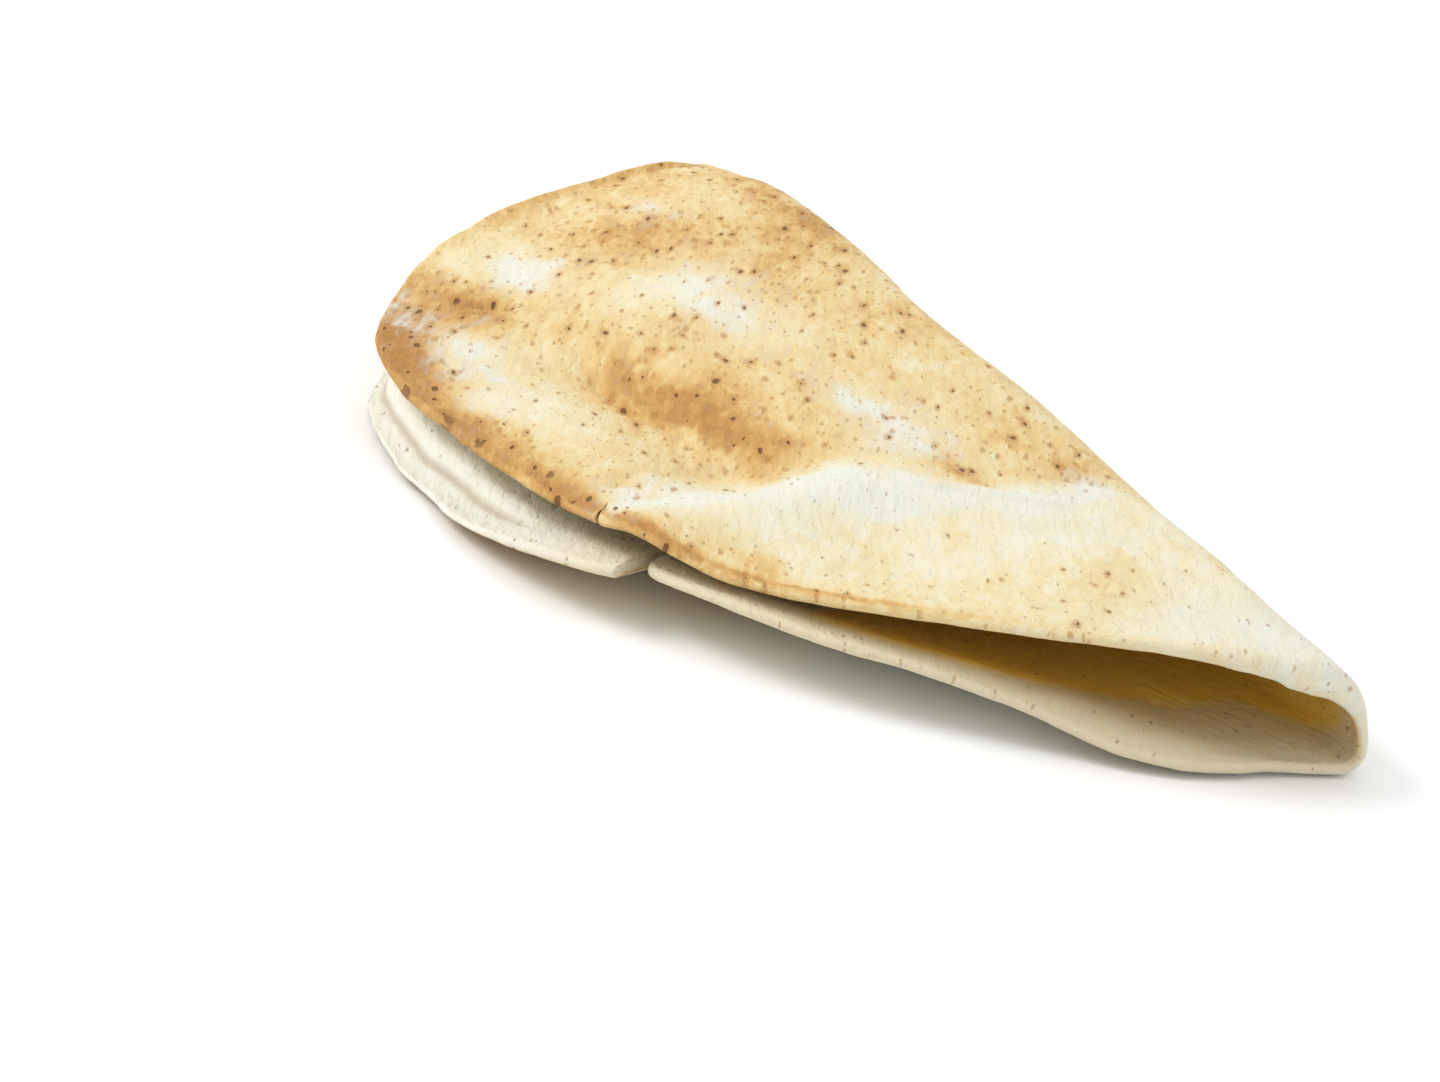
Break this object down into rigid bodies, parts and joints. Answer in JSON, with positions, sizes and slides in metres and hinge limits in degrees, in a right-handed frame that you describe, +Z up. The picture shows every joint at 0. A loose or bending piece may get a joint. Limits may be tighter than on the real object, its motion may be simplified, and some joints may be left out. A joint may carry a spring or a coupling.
{
  "type": "pita bread",
  "caption": "Round thin flatbread folded once into a half-moon, lying on its lower leaf with the open mouth along its curved side.",
  "frame": {"origin": "centre of the bounding box in plan, on the surface that the loaf lies on", "axes": "+X along the fold towards its pinched end, +Y towards the rolled fold and away from the open mouth, +Z up"},
  "size_m": [0.251, 0.1282, 0.0305],
  "materials": {
    "crust": "dry matt baked crust, golden blotches on cream dough"
  },
  "bodies": {
    "root": {"pita_bread": "crust"}
  },
  "joints": []
}
